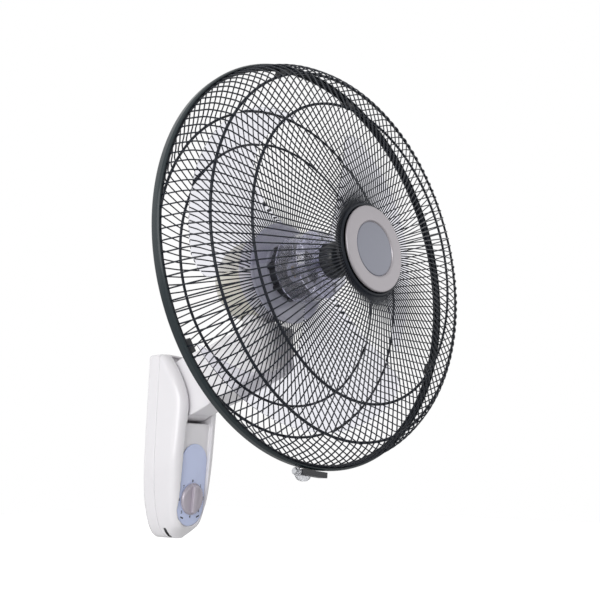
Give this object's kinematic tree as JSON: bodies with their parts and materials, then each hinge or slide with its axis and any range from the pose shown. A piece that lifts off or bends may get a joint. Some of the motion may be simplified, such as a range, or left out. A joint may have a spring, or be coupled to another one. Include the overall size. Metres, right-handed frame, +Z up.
{
  "type": "wall fan",
  "caption": "Wall mounted fan: a slim body with a speed knob carries a tilting neck and a turning head with clear blades in a round wire guard.",
  "frame": {"origin": "middle of the wall bracket's back face, on the wall", "axes": "+Y into the wall, -Y out into the room where the fan blows, +Z up, +X to the right seen from the room"},
  "size_m": [0.4728, 0.3662, 0.564],
  "materials": {
    "body_plastic": "smooth white moulded plastic, soft gloss",
    "panel_film": "pale blue-lilac satin film",
    "knob_pearl": "warm grey pearl plastic, satin",
    "guard_wire": "blue-black gloss coat on wire",
    "rim_coat": "blue-black gloss coat",
    "black_plastic": "black moulded plastic, satin",
    "cream_plastic": "cream moulded plastic, semi gloss",
    "cap_silver": "silver pearl lacquer on plastic",
    "steel": "zinc plated steel",
    "laminations": "stacked electrical steel",
    "copper": "varnished copper winding",
    "bronze": "sintered bronze",
    "cast_alloy": "die cast alloy, as cast",
    "blade_clear": "clear smoky moulded plastic",
    "clear_tab": "milky translucent plastic",
    "switch_grey": "dark grey moulded plastic"
  },
  "bodies": {
    "wall_body": {"body_back_shell": "body_plastic", "body_front_shell": "body_plastic", "body_screw_1": "steel", "body_screw_2": "steel", "body_screw_3": "steel", "body_screw_4": "steel", "cord_inlet": "black_plastic", "wall_bracket": "steel", "wall_screw_upper": "steel", "wall_screw_lower": "steel", "control_plate": "panel_film", "speed_switch": "switch_grey", "terminal_block": "cream_plastic", "capacitor": "switch_grey", "hinge_bracket": "steel", "tilt_bolt": "steel", "tilt_nut": "steel"},
    "knob": {"speed_knob": "knob_pearl", "knob_shaft": "steel"},
    "neck": {"neck_arm": "body_plastic", "neck_bottom_cover": "body_plastic", "swivel_post": "steel", "swing_gear": "switch_grey"},
    "head": {"swing_motor": "steel", "motor_front_cover": "cream_plastic", "motor_rear_cover": "cream_plastic", "front_bush": "bronze", "rear_bush": "bronze", "stator_core": "laminations", "winding_front": "copper", "winding_rear": "copper", "swivel_frame": "cast_alloy", "guard_lock_nut": "black_plastic", "front_guard": "guard_wire", "front_hoop_inner": "guard_wire", "front_hoop_outer": "guard_wire", "rear_guard": "guard_wire", "rear_hoop_inner": "guard_wire", "rear_hoop_outer": "guard_wire", "rim_band": "rim_coat", "rim_clip": "black_plastic", "rim_clip_bolt": "steel", "rim_clip_tab": "clear_tab", "centre_cap": "cap_silver", "guard_hub_plate": "black_plastic"},
    "pinion": {"swing_pinion": "switch_grey"},
    "rotor": {"motor_shaft": "steel", "rotor_core": "laminations", "blades": "blade_clear", "blade_lock_nut": "black_plastic"}
  },
  "joints": [
    {"name": "knob_turn", "type": "hinge", "parent": "wall_body", "child": "knob", "pos_m": [0, -0.05427, -0.085], "axis": [0, -0.9977, -0.0685], "range_deg": [-315, 0]},
    {"name": "head_tilt", "type": "hinge", "parent": "wall_body", "child": "neck", "pos_m": [0, -0.038, 0.065], "axis": [1, 0, 0], "range_deg": [-8, 25]},
    {"name": "head_pan", "type": "hinge", "parent": "neck", "child": "head", "pos_m": [0, -0.16, 0.16], "axis": [0, 0, 1], "range_deg": [-30, 50]},
    {"name": "pinion_turn", "type": "hinge", "parent": "head", "child": "pinion", "pos_m": [0.00366, -0.13922, 0.145], "axis": [0, 0, 1], "range_deg": [-60, 100]},
    {"name": "blade_spin", "type": "hinge", "parent": "head", "child": "rotor", "pos_m": [0, -0.16, 0.19], "axis": [-0.1736, -0.9848, 0], "continuous": true}
  ],
  "couplings": [
    {"joint": "pinion_turn", "follows": "head_pan", "ratio": 2}
  ]
}
